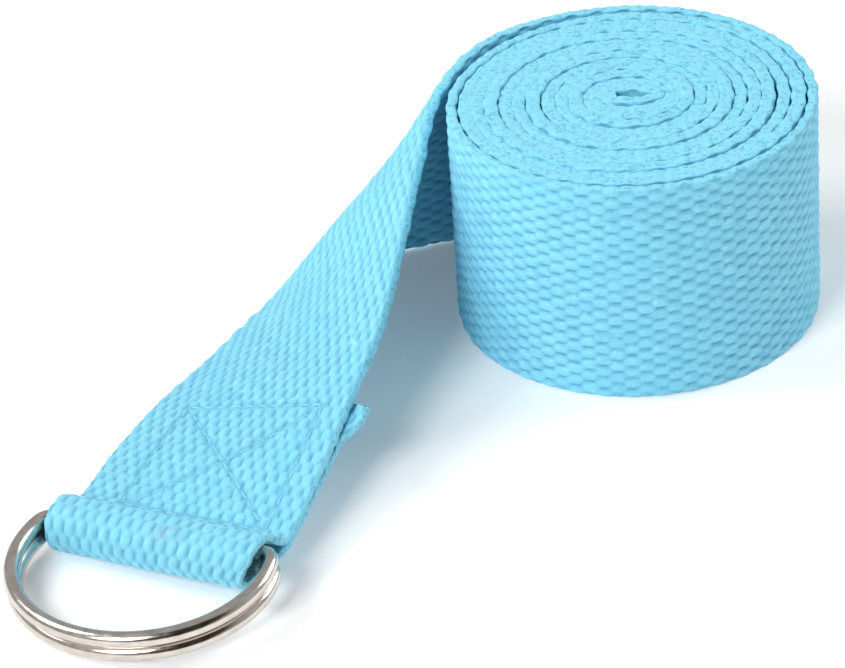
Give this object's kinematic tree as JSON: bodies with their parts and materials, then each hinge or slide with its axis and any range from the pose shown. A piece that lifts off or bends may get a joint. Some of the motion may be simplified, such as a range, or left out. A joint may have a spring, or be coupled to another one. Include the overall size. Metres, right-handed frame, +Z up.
{
  "type": "stretching strap",
  "caption": "Woven webbing strap rolled up on its edge, its free end twisting flat into a sewn loop that holds stacked D-rings.",
  "frame": {"origin": "where the roll's axis meets the surface it stands on, at the centre of the roll's lower edge", "axes": "+Z up along the roll's axis; the free tail leaves the roll towards -X and runs to -Y, where the sewn loop and the D-rings lie"},
  "size_m": [0.1294, 0.1213, 0.0382],
  "materials": {
    "webbing": "plain-woven webbing, light sky blue, soft low sheen",
    "thread": "matching polyester sewing thread",
    "nickel": "warm grey nickel plate, bright and smooth"
  },
  "bodies": {
    "roll": {"webbing_roll": "webbing", "webbing_outer_turn": "webbing"},
    "tail": {"webbing_tail": "webbing", "webbing_fold": "webbing", "needle_thread": "thread", "bobbin_thread": "thread"},
    "ring_upper": {"d_ring_upper": "nickel"},
    "ring_lower": {"d_ring_lower": "nickel"}
  },
  "joints": [
    {"name": "tail_swing", "type": "hinge", "parent": "roll", "child": "tail", "pos_m": [-0.032, 0.0157, 0], "axis": [0, 0, 1], "range_deg": [-15, 6]},
    {"name": "upper_ring_turn", "type": "hinge", "parent": "tail", "child": "ring_upper", "pos_m": [-0.07676, -0.06678, 0.00643], "axis": [-0.8986, 0.4363, -0.0471], "range_deg": [0, 140]},
    {"name": "lower_ring_turn", "type": "hinge", "parent": "tail", "child": "ring_lower", "pos_m": [-0.07651, -0.06657, 0.00389], "axis": [-0.8986, 0.4363, -0.0471], "range_deg": [-90, 0]}
  ]
}
